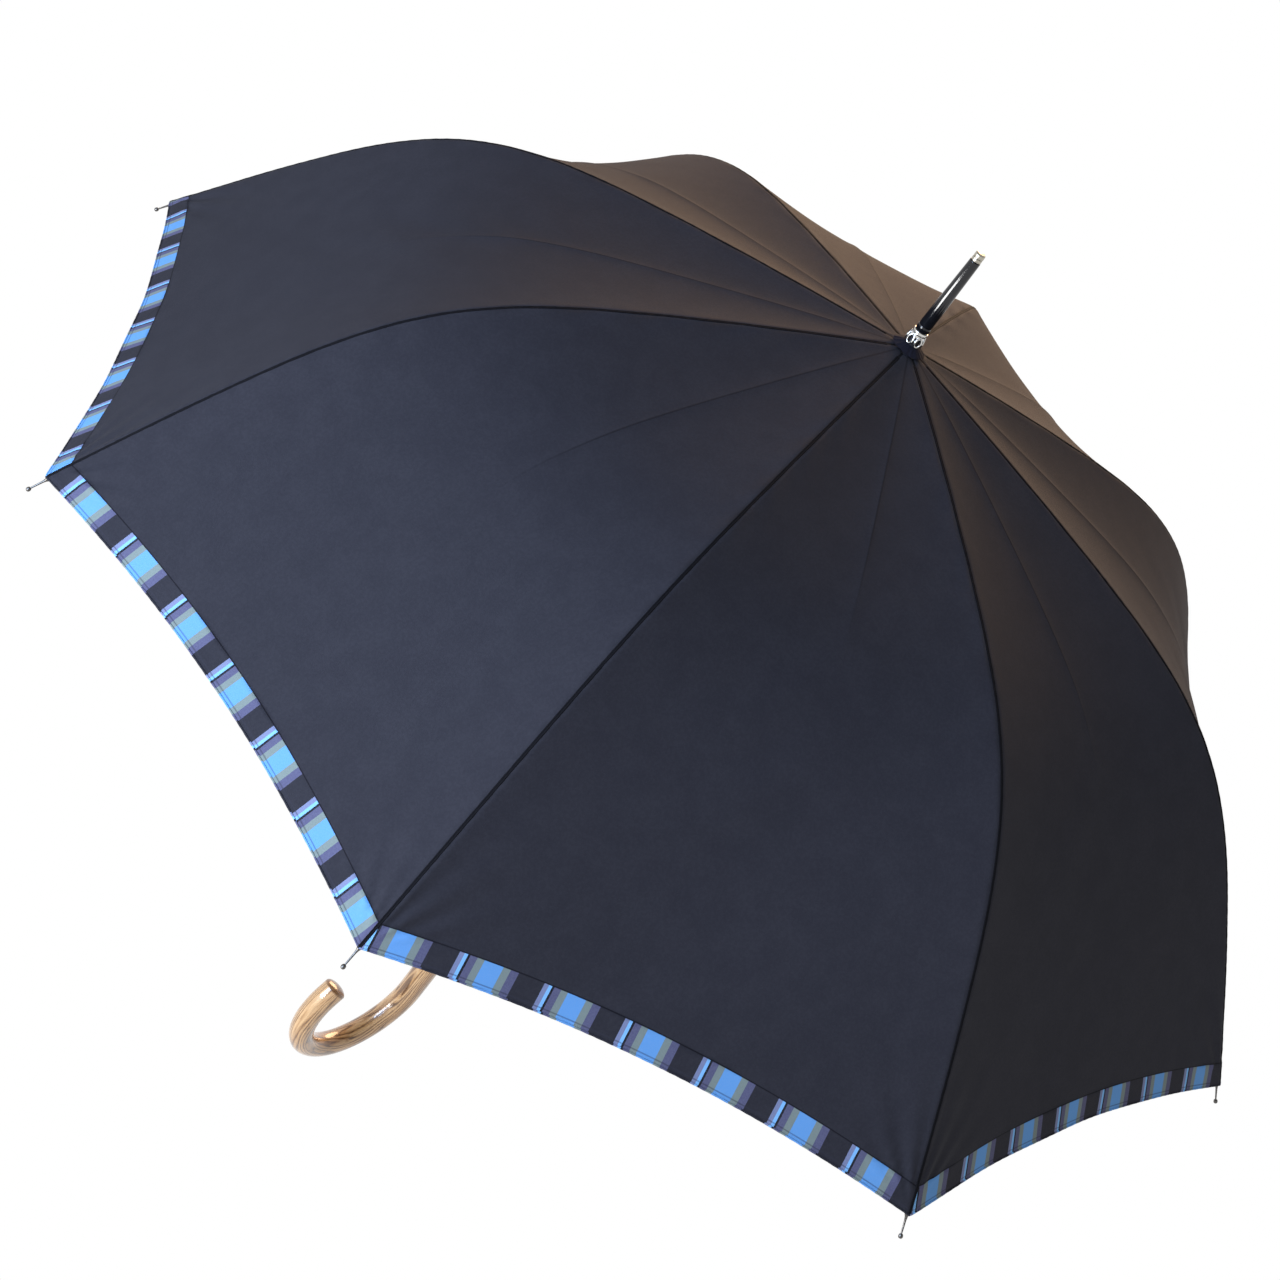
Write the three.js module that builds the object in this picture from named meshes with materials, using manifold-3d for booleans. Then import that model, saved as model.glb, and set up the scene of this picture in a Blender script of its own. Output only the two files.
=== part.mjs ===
// Stick umbrella, open: crook handle at the bottom, ferrule on top, eight ribs. Millimetres, +Z up,
// origin on the shaft axis level with the lowest point of the crook, crook bent towards +X.
import * as THREE from 'three';
import Module from 'manifold-3d';
import { mergeVertices } from 'three/addons/utils/BufferGeometryUtils.js';

const wasm = await Module();
wasm.setup();

// Frame
const RIB_COUNT = 8;
const RIB_STEP = (2 * Math.PI) / RIB_COUNT;
const HALF_STEP = RIB_STEP / 2;
const FIRST_RIB_ANGLE = HALF_STEP;
const GAP = 0.3;

// Rib centreline: starts on the notch pivot circle and bends down, most strongly just past its middle
const NOTCH_Z = 846;
const PIVOT_RADIUS = 9;
const RIB_LENGTH = 654.8;
const START_SLOPE = 0.1676;
const BASE_CURVATURE = 0.0002713;
const PEAK_CURVATURE = 0.0034976;
const PEAK_AT = 0.5559;
const PEAK_WIDTH = 0.1506;
const CURVE_STEPS = 400;
// Places along the rib where the modelled surfaces have a cross row, closest where the rib bends most
const BEND_SHARES = [0.12, 0.24, 0.33, 0.4, 0.46, 0.52, 0.58, 0.64, 0.7, 0.78, 0.88];

// Rib parts
const CHANNEL_WIDTH = 3.6;
const CHANNEL_HEIGHT = 3;
const CHANNEL_WALL = 0.5;
const ROD_RADIUS = 1.4;
const FLEX_AT = 0.45;
const BRACKET_AT = 0.42;
const BRACKET_DROP = 5;
const BRACKET_LENGTH = 9;
const EYE_RADIUS = 1.9;
const EYE_HOLE = 1;
const PIN_RADIUS = 0.5;
const PIN_HOLE = 0.85;
const TONGUE_WIDTH = 2;
const TIP_LENGTH = 21;
const TIP_START = 6;
const BALL_RADIUS = 2.2;

// Stretchers
const STRETCHER_END_RADIUS = 11;
const RUNNER_DROP = 185;
const STRETCHER_HEIGHT = 2.8;

// Shaft, runner and catches
const SHAFT_RADIUS = 5;
const SHAFT_BORE = 4.2;
const SHAFT_BOTTOM = 106;
const SHAFT_SHOULDER = NOTCH_Z + 18;
const SHAFT_TOP = NOTCH_Z + 44;
const SPIGOT_RADIUS = 4.2;
const SPIGOT_BORE = 3.3;
const RUNNER_BORE = 5.5;
const RUNNER_RADIUS = 7.5;
const RUNNER_LENGTH = 66;
const FLANGE_RADIUS = 12.4;
const FLANGE_HALF = 4;
const RUNNER_Z = NOTCH_Z - RUNNER_DROP;
const WIRE_RADIUS = 0.6;
const RUNNER_WIRE_CIRCLE = 8.2;
const TOP_CATCH_Z = RUNNER_Z - RUNNER_LENGTH - 1;
const BOTTOM_CATCH_Z = 241;
const CATCH_LENGTH = 13;
const CATCH_WIDTH = 2.4;
const CATCH_REACH = 8;

// Head
const NOTCH_RADIUS = 10;
const SLOT_WIDTH = 4.3;
const CROWN_BOTTOM = NOTCH_Z + 8.8;
const CROWN_TOP = NOTCH_Z + 20.4;
const CROWN_RADIUS = 7.6;
const PETAL_COUNT = 6;
const FERRULE_BOTTOM = NOTCH_Z + 20.8;
const FERRULE_TOP = 935;
const FERRULE_BASE_RADIUS = 5.5;
const FERRULE_END_RADIUS = 4.4;
const FERRULE_CAP_TOP = 942.5;
const ROSETTE_RADIUS = 14;

// Crook handle
const HANDLE_RADIUS = 10.75;
const CROOK_RADIUS = 60.5;
const CROOK_CENTRE_Z = CROOK_RADIUS + HANDLE_RADIUS;
const CROOK_TURN = 3.58;
const CROOK_END = 7;
const HANDLE_TOP = 165;
const HANDLE_SIDES = 16;
const COLLAR_TOP = 177;

// Canopy
const CANOPY_INNER = 2.5;
const CANOPY_OUTER = 3.4;
const CANOPY_START_RADIUS = 11.2;
const RIM_SCALLOP = 16.2;
const SAG_MIDDLE = 9;
const SAG_RIM = 4.5;
const GORE_COLUMNS = 6;
const SEAM_CLEARANCE = 0.25;

// Tie strap on the inside of the fifth gore
const STRAP_GORE = 5;
const STRAP_ACROSS = -0.55;
const STRAP_FROM = 0.7;
const STRAP_TO = 0.93;
const STRAP_WIDTH = 16;
const STRAP_ROWS = 7;
const SNAP_RADIUS = 5;

const material = (color, roughness, metalness) =>
  new THREE.MeshStandardMaterial({ color, roughness, metalness });
const BLACK_FABRIC = material(0x23252c, 0.85, 0);
const BLACK_STEEL = material(0x14151a, 0.3, 0.6);
const STEEL = material(0x9a9da3, 0.35, 0.9);
const CHROME = material(0xd8d9dc, 0.12, 1);
const BLACK_ROD = material(0x1d1e20, 0.45, 0);
const BLACK_PLASTIC = material(0x17181b, 0.4, 0);
const VARNISHED_WOOD = material(0xb8834a, 0.25, 0);

const group = new THREE.Group();

function add(name, geometry, look) {
  geometry.computeVertexNormals();
  const mesh = new THREE.Mesh(geometry, look.clone());
  mesh.name = name;
  group.add(mesh);
}

// Solid helpers
function bodyFrom(positions, index) {
  const geometry = new THREE.BufferGeometry();
  geometry.setAttribute('position', new THREE.Float32BufferAttribute(positions, 3));
  let volume = 0;
  const [a, b, c] = [new THREE.Vector3(), new THREE.Vector3(), new THREE.Vector3()];
  for (let i = 0; i < index.length; i += 3) {
    a.fromArray(positions, 3 * index[i]);
    b.fromArray(positions, 3 * index[i + 1]);
    c.fromArray(positions, 3 * index[i + 2]);
    volume += a.dot(b.cross(c));
  }
  geometry.setIndex(volume < 0 ? [...index].reverse() : index);
  return geometry;
}

// A closed body through rings of equal length; the outline of the section closes both ends
function loft(rings, section) {
  const count = section.length;
  const positions = rings.flatMap((ring) => ring.flatMap((p) => p.toArray()));
  const index = [];
  for (let i = 0; i + 1 < rings.length; i++) {
    for (let j = 0; j < count; j++) {
      const k = (j + 1) % count;
      const [a, b] = [i * count + j, i * count + k];
      index.push(a, b, b + count, a, b + count, a + count);
    }
  }
  const outline = section.map(([x, y]) => new THREE.Vector2(x, y));
  const windsLeft = THREE.ShapeUtils.area(outline) > 0;
  const last = (rings.length - 1) * count;
  for (const [a, b, c] of THREE.ShapeUtils.triangulateShape(outline, [])) {
    const turn = outlineTurn(outline[a], outline[b], outline[c]);
    const face = turn > 0 === windsLeft ? [a, b, c] : [a, c, b];
    index.push(face[0], face[2], face[1]);
    index.push(last + face[0], last + face[1], last + face[2]);
  }
  return bodyFrom(positions, index);
}

function outlineTurn(a, b, c) {
  return (b.x - a.x) * (c.y - a.y) - (b.y - a.y) * (c.x - a.x);
}

function circle(radius, sides) {
  return Array.from({ length: sides }, (_, i) => {
    const angle = (2 * Math.PI * i) / sides;
    return [radius * Math.cos(angle), radius * Math.sin(angle)];
  });
}

function rectangle(x0, x1, y0, y1) {
  return [[x0, y0], [x1, y0], [x1, y1], [x0, y1]];
}

function turned(profile, sides) {
  const points = profile.map(([radius, z]) => new THREE.Vector2(radius, z));
  return new THREE.LatheGeometry(points, sides).rotateX(Math.PI / 2);
}

// Closed profile of a turned ring: outer side upwards, inner side downwards
function turnedRing(profile, sides) {
  return turned([...profile, profile[0]], sides);
}

function box(x0, x1, y0, y1, z0, z1) {
  const geometry = new THREE.BoxGeometry(x1 - x0, y1 - y0, z1 - z0);
  return geometry.translate((x0 + x1) / 2, (y0 + y1) / 2, (z0 + z1) / 2);
}

function torus(radius, thickness, sides, around) {
  return new THREE.TorusGeometry(radius, thickness, sides, around);
}

// A pin along Y through a point of the XZ plane
function crossPin(radius, halfWidth, x, z, sides = 8) {
  return new THREE.CylinderGeometry(radius, radius, 2 * halfWidth, sides).translate(x, 0, z);
}

function solid(geometry) {
  const plain = geometry.clone();
  plain.deleteAttribute('normal');
  plain.deleteAttribute('uv');
  const merged = mergeVertices(plain, 1e-5);
  const source = merged.index.array;
  const triVerts = [];
  for (let i = 0; i < source.length; i += 3) {
    const [a, b, c] = [source[i], source[i + 1], source[i + 2]];
    if (a !== b && b !== c && a !== c) {
      triVerts.push(a, b, c);
    }
  }
  return new wasm.Manifold(new wasm.Mesh({
    numProp: 3,
    vertProperties: new Float32Array(merged.attributes.position.array),
    triVerts: new Uint32Array(triVerts),
  }));
}

function meshed(manifold) {
  const { numProp, vertProperties, triVerts } = manifold.getMesh();
  const positions = [];
  for (let i = 0; i < vertProperties.length; i += numProp) {
    positions.push(vertProperties[i], vertProperties[i + 1], vertProperties[i + 2]);
  }
  return bodyFrom(positions, Array.from(triVerts));
}

// Rib centreline in its own vertical plane, as radius, height and slope below level
const CURVE = [{ r: PIVOT_RADIUS, z: NOTCH_Z, slope: START_SLOPE }];
for (let i = 1; i <= CURVE_STEPS; i++) {
  const step = RIB_LENGTH / CURVE_STEPS;
  const along = ((i - 0.5) / CURVE_STEPS - PEAK_AT) / PEAK_WIDTH;
  const bend = (BASE_CURVATURE + PEAK_CURVATURE * Math.exp(-along * along)) * step;
  const before = CURVE[i - 1];
  const middle = before.slope + bend / 2;
  CURVE.push({
    r: before.r + step * Math.cos(middle),
    z: before.z - step * Math.sin(middle),
    slope: before.slope + bend,
  });
}

function curveAt(share) {
  const place = Math.min(Math.max(share, 0), 1) * CURVE_STEPS;
  const i = Math.min(Math.floor(place), CURVE_STEPS - 1);
  const f = place - i;
  const [a, b] = [CURVE[i], CURVE[i + 1]];
  return {
    r: a.r + f * (b.r - a.r),
    z: a.z + f * (b.z - a.z),
    slope: a.slope + f * (b.slope - a.slope),
  };
}

// A point of the rib plane at azimuth 0: drop is measured square to the rib, below its centreline
function belowRib(share, drop) {
  const { r, z, slope } = curveAt(share);
  return new THREE.Vector2(r - drop * Math.sin(slope), z - drop * Math.cos(slope));
}

function ribRing(share, section) {
  return section.map(([y, up]) => {
    const p = belowRib(share, -up);
    return new THREE.Vector3(p.x, y, p.y);
  });
}

function sharesBetween(from, to) {
  const margin = 0.006;
  return [from, ...BEND_SHARES.filter((share) => share > from + margin && share < to - margin), to];
}

// Geometry given square to the rib at one place, x along the rib and z up from its centreline
function onRib(geometry, share) {
  const { r, z, slope } = curveAt(share);
  return geometry.rotateY(slope).translate(r, 0, z);
}

const aroundShaft = (geometry, angle) => geometry.clone().rotateZ(angle);

function innerRib() {
  const half = CHANNEL_WIDTH / 2;
  const up = CHANNEL_HEIGHT / 2;
  const inside = half - CHANNEL_WALL;
  const section = [
    [-half, -up], [-inside, -up], [-inside, up - CHANNEL_WALL], [inside, up - CHANNEL_WALL],
    [inside, -up], [half, -up], [half, up], [-half, up],
  ];
  const startShare = 1.2 / RIB_LENGTH;
  const endShare = FLEX_AT + 3 / RIB_LENGTH;
  const rings = sharesBetween(startShare, endShare).map((share) => ribRing(share, section));
  const channel = solid(loft(rings, section));
  const eye = solid(crossPin(EYE_RADIUS, half, PIVOT_RADIUS, NOTCH_Z, 10));
  const bracketHalf = BRACKET_LENGTH / 2;
  const bracketBottom = -(BRACKET_DROP + 2);
  const block = onRib(box(-bracketHalf, bracketHalf, -half, half, bracketBottom, 0), BRACKET_AT);
  const slotBottom = bracketBottom - 1;
  const slot = onRib(box(-bracketHalf - 1, bracketHalf + 1, -inside, inside, slotBottom, 1), BRACKET_AT);
  const flexCut = onRib(box(-3.5, 5, -inside, inside, -3, 3), FLEX_AT);
  const bracketPin = belowRib(BRACKET_AT, BRACKET_DROP);
  const flexPin = belowRib(FLEX_AT, 0);
  const pinHalf = half - CHANNEL_WALL / 2;
  return meshed(
    channel
      .add(eye)
      .add(solid(block))
      .subtract(solid(slot))
      .subtract(solid(flexCut))
      .subtract(solid(crossPin(EYE_HOLE, CHANNEL_WIDTH, PIVOT_RADIUS, NOTCH_Z)))
      .add(solid(crossPin(PIN_RADIUS, pinHalf, bracketPin.x, bracketPin.y, 6)))
      .add(solid(crossPin(PIN_RADIUS, pinHalf, flexPin.x, flexPin.y, 6))),
  );
}

function outerRib() {
  const rodEnd = 1 - (TIP_START + GAP) / RIB_LENGTH;
  const flat = TONGUE_WIDTH / 2 / ROD_RADIUS;
  const round = circle(ROD_RADIUS, 6);
  const tongueShare = 6 / RIB_LENGTH;
  const roundFrom = FLEX_AT + 1.6 * tongueShare;
  const shares = [FLEX_AT, FLEX_AT + tongueShare, ...sharesBetween(roundFrom, rodEnd)];
  const rings = shares.map((share, i) => {
    const narrow = i < 2 ? flat : 1;
    return ribRing(share, round.map(([y, up]) => [y * narrow, up]));
  });
  const pivot = belowRib(FLEX_AT, 0);
  const rod = solid(loft(rings, round));
  const eye = solid(crossPin(ROD_RADIUS, TONGUE_WIDTH / 2, pivot.x, pivot.y, 10));
  return meshed(rod.add(eye).subtract(solid(crossPin(PIN_HOLE, CHANNEL_WIDTH, pivot.x, pivot.y))));
}

// Tip cap: socket cone, thin stem and ball beyond the end of the rod
function ribTip() {
  const profile = [
    [0, -TIP_START], [1.9, -TIP_START], [1.8, 0], [0.8, 4], [0.6, 12.9], [1.6, 13.3],
    [BALL_RADIUS, 15], [1.55, 16.5], [0, TIP_LENGTH - TIP_START + 2.2],
  ];
  const along = turned(profile, 8).rotateY(Math.PI / 2);
  return onRib(along, 1);
}

function stretcher() {
  const from = belowRib(BRACKET_AT, BRACKET_DROP);
  const to = new THREE.Vector2(STRETCHER_END_RADIUS, RUNNER_Z);
  const length = from.distanceTo(to);
  const half = TONGUE_WIDTH / 2;
  const up = STRETCHER_HEIGHT / 2;
  const bar = solid(box(0, length, -half, half, -up, up));
  const eye = solid(crossPin(up + 0.2, half, 0, 0, 10));
  const hole = solid(crossPin(PIN_HOLE, CHANNEL_WIDTH, 0, 0));
  const slope = Math.atan2(from.y - to.y, from.x - to.x);
  const shape = meshed(bar.add(eye).subtract(hole));
  return shape.rotateY(Math.PI - slope).translate(from.x, 0, from.y);
}

// Canopy surface between two ribs: across runs from -1 to 1, up is square to the sheet
function gorePoint(share, across, up, angle) {
  const { r, z, slope } = curveAt(share);
  const bow = 1 - across * across;
  const sag = (SAG_MIDDLE * Math.sin(Math.PI * share) + SAG_RIM * share) * bow;
  const lift = up - sag;
  const reach = r + lift * Math.sin(slope);
  const radial = reach * Math.cos(HALF_STEP);
  const sideways = across * (reach * Math.sin(HALF_STEP) - SEAM_CLEARANCE);
  const height = z + lift * Math.cos(slope);
  const point = new THREE.Vector3(radial, sideways, height);
  return point.applyAxisAngle(new THREE.Vector3(0, 0, 1), angle);
}

function goreAngle(number) {
  return FIRST_RIB_ANGLE + HALF_STEP + (number - 1) * RIB_STEP;
}

function gore(number) {
  const start = (CANOPY_START_RADIUS - PIVOT_RADIUS) / RIB_LENGTH;
  const rows = sharesBetween(start, 1);
  const steps = rows.length - 1;
  const layers = [CANOPY_INNER, CANOPY_OUTER].map((up) => {
    const points = [];
    for (const row of rows) {
      for (let j = 0; j <= GORE_COLUMNS; j++) {
        const across = (2 * j) / GORE_COLUMNS - 1;
        const scallop = (RIM_SCALLOP / RIB_LENGTH) * (1 - across * across);
        const share = start + (row - start) * (1 - scallop * row);
        points.push(gorePoint(share, across, up, goreAngle(number)));
      }
    }
    return points;
  });
  const columns = GORE_COLUMNS + 1;
  const layerSize = layers[0].length;
  const index = [];
  const quad = (a, b, c, d) => index.push(a, b, c, a, c, d);
  for (let i = 0; i < steps; i++) {
    for (let j = 0; j < GORE_COLUMNS; j++) {
      const a = i * columns + j;
      quad(a, a + 1, a + columns + 1, a + columns);
      const b = a + layerSize;
      quad(b, b + columns, b + columns + 1, b + 1);
    }
  }
  const wall = (a, b) => quad(a, a + layerSize, b + layerSize, b);
  for (let j = 0; j < GORE_COLUMNS; j++) {
    wall(j, j + 1);
    const end = steps * columns + j;
    wall(end + 1, end);
  }
  for (let i = 0; i < steps; i++) {
    const left = i * columns;
    wall(left + columns, left);
    wall(left + GORE_COLUMNS, left + columns + GORE_COLUMNS);
  }
  return bodyFrom(layers.flat().flatMap((p) => p.toArray()), index);
}

function tieStrap() {
  const section = rectangle(-STRAP_WIDTH / 2, STRAP_WIDTH / 2, 0.9, 2);
  const rings = [];
  for (let i = 0; i <= STRAP_ROWS; i++) {
    const share = STRAP_FROM + ((STRAP_TO - STRAP_FROM) * i) / STRAP_ROWS;
    const halfWidth = curveAt(share).r * Math.sin(HALF_STEP);
    rings.push(section.map(([side, up]) => {
      const across = STRAP_ACROSS + side / halfWidth;
      return gorePoint(share, across, up, goreAngle(STRAP_GORE));
    }));
  }
  return loft(rings, section);
}

function strapSnap() {
  const share = STRAP_FROM + 0.025;
  const at = gorePoint(share, STRAP_ACROSS, 0.5, goreAngle(STRAP_GORE));
  const { slope } = curveAt(share);
  const stud = turned([[0, -1.2], [2.2, -1.2], [2.6, -0.2], [SNAP_RADIUS, -0.1], [SNAP_RADIUS, 0], [0, 0]], 16);
  return stud.rotateY(slope).rotateZ(goreAngle(STRAP_GORE)).translate(at.x, at.y, at.z);
}

// Shaft group
function shaft() {
  const tube = solid(turnedRing([
    [SHAFT_RADIUS, SHAFT_BOTTOM], [SHAFT_RADIUS, SHAFT_SHOULDER], [SPIGOT_RADIUS, SHAFT_SHOULDER],
    [SPIGOT_RADIUS, SHAFT_TOP], [SPIGOT_BORE, SHAFT_TOP], [SPIGOT_BORE, SHAFT_SHOULDER - 4],
    [SHAFT_BORE, SHAFT_SHOULDER - 4], [SHAFT_BORE, SHAFT_BOTTOM],
  ], 24));
  const side = CATCH_WIDTH / 2 + GAP;
  const window = (top) => solid(box(2, 7, -side, side, top - CATCH_LENGTH - GAP, top + GAP));
  return meshed(tube.subtract(window(TOP_CATCH_Z)).subtract(window(BOTTOM_CATCH_Z)));
}

// A catch blade with a level shoulder on one end and a ramp on the other
function catchBlade(top, shoulderUp) {
  const bottom = top - CATCH_LENGTH;
  const root = SHAFT_BORE - 1.5;
  const edge = SHAFT_RADIUS + 0.2;
  const [shoulder, ramp] = shoulderUp ? [top, bottom] : [bottom, top];
  const inwards = shoulderUp ? -2 : 2;
  const outline = [
    [root, ramp], [edge, ramp], [CATCH_REACH, shoulder + inwards], [CATCH_REACH, shoulder], [root, shoulder],
  ];
  const half = CATCH_WIDTH / 2;
  const rings = [-half, half].map((y) => outline.map(([x, z]) => new THREE.Vector3(x, y, z)));
  return loft(rings, outline);
}

function runner() {
  const top = RUNNER_Z + FLANGE_HALF;
  const bottom = RUNNER_Z - RUNNER_LENGTH;
  const flangeBottom = RUNNER_Z - FLANGE_HALF;
  const blank = solid(turnedRing([
    [RUNNER_RADIUS + 0.8, bottom], [RUNNER_RADIUS + 0.8, bottom + 4], [RUNNER_RADIUS, bottom + 6],
    [RUNNER_RADIUS, flangeBottom - 6], [FLANGE_RADIUS, flangeBottom], [FLANGE_RADIUS, top],
    [RUNNER_BORE, top], [RUNNER_BORE, bottom],
  ], 24));
  const groove = solid(torus(RUNNER_WIRE_CIRCLE, WIRE_RADIUS + GAP, 6, 24).translate(0, 0, RUNNER_Z));
  const side = CATCH_WIDTH / 2 + 0.6;
  const window = solid(box(4, 12, -side, side, bottom + 14, bottom + 31));
  let body = blank.subtract(groove).subtract(window);
  for (let i = 0; i < RIB_COUNT; i++) {
    const slot = box(7, FLANGE_RADIUS + 2, -SLOT_WIDTH / 2 + 0.6, SLOT_WIDTH / 2 - 0.6, flangeBottom - 8, top + 1);
    body = body.subtract(solid(aroundShaft(slot, FIRST_RIB_ANGLE + i * RIB_STEP)));
  }
  return meshed(body);
}

function topNotch() {
  const blank = solid(turnedRing([
    [NOTCH_RADIUS, NOTCH_Z - 5], [NOTCH_RADIUS, NOTCH_Z + 1.6], [8.5, NOTCH_Z + 2.1],
    [SHAFT_RADIUS + GAP, NOTCH_Z + 2.1], [SHAFT_RADIUS + GAP, NOTCH_Z - 9], [7.5, NOTCH_Z - 9],
  ], 24));
  let body = blank.subtract(solid(torus(PIVOT_RADIUS, WIRE_RADIUS + GAP, 6, 24).translate(0, 0, NOTCH_Z)));
  for (let i = 0; i < RIB_COUNT; i++) {
    const slot = box(6.7, NOTCH_RADIUS + 2, -SLOT_WIDTH / 2, SLOT_WIDTH / 2, NOTCH_Z - 10, NOTCH_Z + 3);
    body = body.subtract(solid(aroundShaft(slot, FIRST_RIB_ANGLE + i * RIB_STEP)));
  }
  return meshed(body);
}

function crownCap() {
  const bell = solid(turnedRing([
    [CROWN_RADIUS, CROWN_BOTTOM], [7.2, CROWN_BOTTOM + 4], [5.9, CROWN_TOP - 3], [5.9, CROWN_TOP],
    [SHAFT_RADIUS + GAP, CROWN_TOP], [SHAFT_RADIUS + GAP, CROWN_TOP - 3.2], [6.4, CROWN_BOTTOM + 4],
    [CROWN_RADIUS - 0.8, CROWN_BOTTOM],
  ], 24));
  let body = bell;
  for (let i = 0; i < PETAL_COUNT; i++) {
    const gapBox = box(4, 10, -1.3, 1.3, CROWN_BOTTOM - 1, CROWN_BOTTOM + 6);
    body = body.subtract(solid(aroundShaft(gapBox, (2 * Math.PI * i) / PETAL_COUNT)));
  }
  return meshed(body);
}

function ferrule() {
  const boreTop = SHAFT_TOP + 2;
  return turned([
    [SPIGOT_RADIUS + GAP, FERRULE_BOTTOM], [FERRULE_BASE_RADIUS, FERRULE_BOTTOM],
    [FERRULE_BASE_RADIUS, FERRULE_BOTTOM + 4], [FERRULE_END_RADIUS, FERRULE_TOP], [0, FERRULE_TOP],
  ].concat([[0, boreTop], [SPIGOT_RADIUS + GAP, boreTop], [SPIGOT_RADIUS + GAP, FERRULE_BOTTOM]]), 20);
}

function ferruleCap() {
  const bottom = FERRULE_TOP + GAP;
  return turned([
    [0, bottom], [4.1, bottom], [4.1, FERRULE_CAP_TOP - 1], [3.1, FERRULE_CAP_TOP], [0, FERRULE_CAP_TOP],
  ], 20);
}

function rosette() {
  const inner = SHAFT_RADIUS + GAP;
  return turnedRing([
    [ROSETTE_RADIUS, NOTCH_Z + 3.2], [ROSETTE_RADIUS, NOTCH_Z + 4], [9, NOTCH_Z + 6.3], [6.2, NOTCH_Z + 8],
    [inner, NOTCH_Z + 8], [inner, NOTCH_Z + 4.6],
  ], 24);
}

// Crook: straight grip, round bend and a domed end
function handle() {
  const turnSteps = 14;
  const domeSteps = 3;
  const stations = [
    { x: 0, z: HANDLE_TOP, tilt: 0, radius: 8.6 },
    { x: 0, z: HANDLE_TOP - 3, tilt: 0, radius: 9.9 },
    { x: 0, z: HANDLE_TOP - 9, tilt: 0, radius: HANDLE_RADIUS },
  ];
  for (let i = 0; i <= turnSteps; i++) {
    const tilt = (CROOK_TURN * i) / turnSteps;
    stations.push({
      x: CROOK_RADIUS * (1 - Math.cos(tilt)),
      z: CROOK_CENTRE_Z - CROOK_RADIUS * Math.sin(tilt),
      tilt,
      radius: HANDLE_RADIUS,
    });
  }
  const end = stations.at(-1);
  const ahead = (distance, radius) => ({
    x: end.x + distance * Math.sin(end.tilt),
    z: end.z - distance * Math.cos(end.tilt),
    tilt: end.tilt,
    radius,
  });
  for (let i = 0; i <= domeSteps; i++) {
    const lift = (Math.PI / 2) * (i / (domeSteps + 0.5));
    stations.push(ahead(CROOK_END + 4 * Math.sin(lift), HANDLE_RADIUS * Math.cos(lift)));
  }
  const section = circle(1, HANDLE_SIDES);
  const rings = stations.map(({ x, z, tilt, radius }) => section.map(([side, across]) => {
    const out = radius * across;
    return new THREE.Vector3(x + out * Math.cos(tilt), radius * side, z + out * Math.sin(tilt));
  }));
  const bore = turned([
    [0, SHAFT_BOTTOM - GAP], [SHAFT_RADIUS + GAP, SHAFT_BOTTOM - GAP], [SHAFT_RADIUS + GAP, HANDLE_TOP + 1],
    [0, HANDLE_TOP + 1],
  ], 20);
  return meshed(solid(loft(rings, section)).subtract(solid(bore)));
}

function handleCollar() {
  const inner = SHAFT_RADIUS + GAP;
  const bottom = HANDLE_TOP + GAP;
  return turnedRing([
    [8.4, bottom], [8.4, bottom + 3], [7.2, bottom + 5], [7.2, COLLAR_TOP - 1], [6.5, COLLAR_TOP],
    [inner, COLLAR_TOP], [inner, bottom],
  ], 20);
}

function stopPin() {
  return crossPin(1.2, SHAFT_BORE - GAP, 0, NOTCH_Z - 14, 12);
}

add('shaft', shaft(), BLACK_STEEL);
add('handle', handle(), VARNISHED_WOOD);
add('handle_collar', handleCollar(), CHROME);
add('ferrule', ferrule(), BLACK_PLASTIC);
add('ferrule_cap', ferruleCap(), CHROME);
add('crown_cap', crownCap(), CHROME);
add('rosette', rosette(), BLACK_FABRIC);
add('top_notch', topNotch(), BLACK_PLASTIC);
add('notch_wire', torus(PIVOT_RADIUS, WIRE_RADIUS, 6, 32).translate(0, 0, NOTCH_Z), STEEL);
add('shaft_pin', stopPin(), STEEL);
add('runner', runner(), BLACK_PLASTIC);
add('runner_wire', torus(RUNNER_WIRE_CIRCLE, WIRE_RADIUS, 6, 32).translate(0, 0, RUNNER_Z), STEEL);
add('top_catch', catchBlade(TOP_CATCH_Z, true), STEEL);
add('bottom_catch', catchBlade(BOTTOM_CATCH_Z, false), STEEL);

const ribShapes = { rib_inner: innerRib(), rib_outer: outerRib(), rib_tip: ribTip(), stretcher: stretcher() };
const ribLooks = { rib_inner: STEEL, rib_outer: BLACK_ROD, rib_tip: CHROME, stretcher: STEEL };
for (const [name, shape] of Object.entries(ribShapes)) {
  for (let i = 0; i < RIB_COUNT; i++) {
    add(`${name}_${i + 1}`, aroundShaft(shape, FIRST_RIB_ANGLE + i * RIB_STEP), ribLooks[name]);
  }
}
for (let number = 1; number <= RIB_COUNT; number++) {
  add(`canopy_gore_${number}`, gore(number), BLACK_FABRIC);
}
add('tie_strap', tieStrap(), BLACK_FABRIC);
add('strap_snap', strapSnap(), CHROME);

export default group;
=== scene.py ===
import math

import bpy
import numpy as np
from mathutils import Matrix, Vector


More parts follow.
